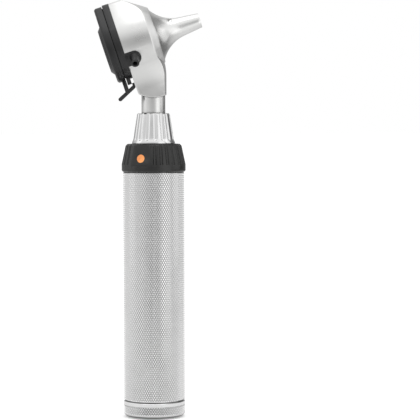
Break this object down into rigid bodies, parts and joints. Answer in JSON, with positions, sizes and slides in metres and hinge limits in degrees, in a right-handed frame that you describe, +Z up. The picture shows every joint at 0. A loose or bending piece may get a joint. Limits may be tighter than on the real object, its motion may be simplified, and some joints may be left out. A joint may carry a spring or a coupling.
{
  "type": "otoscope",
  "caption": "Handheld otoscope: satin-metal head with ear cone and swing-aside magnifier window on a knurled battery handle with dimmer ring.",
  "frame": {"origin": "centre of the foot, the flat underside of the charging insert the handle stands on", "axes": "+Z up the handle's axis, +X the side the ear cone points to (it rises 18.3 degrees above +X), -Y the side with the insufflation nozzle"},
  "size_m": [0.0529, 0.0368, 0.2048],
  "materials": {
    "knurled_metal": "satin chrome plating over a fine diamond knurl",
    "cap_metal": "satin chrome plating, coarser knurl, smooth band",
    "satin_metal": "satin chrome plating, fine blasted texture",
    "bright_metal": "bright chrome plating",
    "cone_metal": "satin chrome plating, turned",
    "black_plastic": "fine moulded texture",
    "ring_plastic": "satin moulded, light wear on the ribs",
    "orange_mark": "moulded dot",
    "insert_plastic": "pale satin plastic",
    "lens_glass": "polished",
    "seal_rubber": "matte",
    "tube_black": "flat black, against glare",
    "fibre": "polished fibre ends",
    "steel": "machined",
    "brass_parts": "turned",
    "board_green": "circuit board",
    "carrier_plastic": "moulded",
    "cell_wrap": "shrink-wrapped can",
    "light_pipe": "frosted",
    "led_resin": "phosphor dome"
  },
  "bodies": {
    "handle": {"handle_tube": "knurled_metal", "battery": "cell_wrap", "board_carrier": "carrier_plastic", "upper_contact": "brass_parts", "driver_board": "board_green", "handle_collar": "steel", "stop_pin": "steel", "retaining_clip": "steel", "dimmer_track": "carrier_plastic", "bayonet_nose": "steel", "bayonet_pins": "steel", "nose_nut": "brass_parts", "contact_bush": "carrier_plastic", "contact_plug": "brass_parts", "contact_spring": "steel"},
    "ring": {"dimmer_ring": "ring_plastic", "index_dot": "orange_mark", "dimmer_wiper": "brass_parts"},
    "contact": {"contact_pin": "brass_parts"},
    "head": {"connector": "bright_metal", "neck_tube": "satin_metal", "lamp_module": "steel", "lamp_contact": "brass_parts", "led": "led_resin", "housing": "satin_metal", "rear_plate": "black_plastic", "window_seal": "seal_rubber", "plate_screws": "steel", "pivot_screw": "steel", "ear_cone": "cone_metal", "viewing_tube": "tube_black", "fibre_ring": "fibre", "fibre_bundle": "fibre"},
    "window": {"window_frame": "black_plastic", "magnifier_lens": "lens_glass", "lens_bezel": "black_plastic", "pivot_washer": "steel", "thumb_lever": "black_plastic"},
    "insert": {"charging_insert": "insert_plastic", "usb_socket": "steel", "status_light_pipe": "light_pipe", "charging_board": "board_green", "battery_spring": "steel"},
    "cap": {"bottom_cap": "cap_metal", "cap_retainer": "steel"}
  },
  "joints": [
    {"name": "head_twist", "type": "hinge", "parent": "handle", "child": "head", "pos_m": [0, 0, 0.141], "axis": [0, 0, 1], "range_deg": [0, 35]},
    {"name": "window_swivel", "type": "hinge", "parent": "head", "child": "window", "pos_m": [-0.0254, 0, 0.19713], "axis": [0.9494, 0, 0.314], "range_deg": [-100, 100]},
    {"name": "ring_turn", "type": "hinge", "parent": "handle", "child": "ring", "pos_m": [0, 0, 0.1275], "axis": [0, 0, 1], "range_deg": [-110, 0]},
    {"name": "contact_press", "type": "slide", "parent": "handle", "child": "contact", "axis": [0, 0, 1], "range_m": [-0.0012, 0], "stiffness_N_per_m": 800, "springref_m": 0.001, "deforming": ["contact_spring"]},
    {"name": "cap_travel", "type": "slide", "parent": "handle", "child": "insert", "axis": [0, 0, 1], "range_m": [-0.0045, 0]},
    {"name": "cap_turn", "type": "hinge", "parent": "insert", "child": "cap", "pos_m": [0, 0, 0.004], "axis": [0, 0, 1], "range_deg": [-1081, 0]}
  ],
  "couplings": [
    {"joint": "cap_turn", "follows": "cap_travel", "rad_per_m": 4188.8}
  ]
}
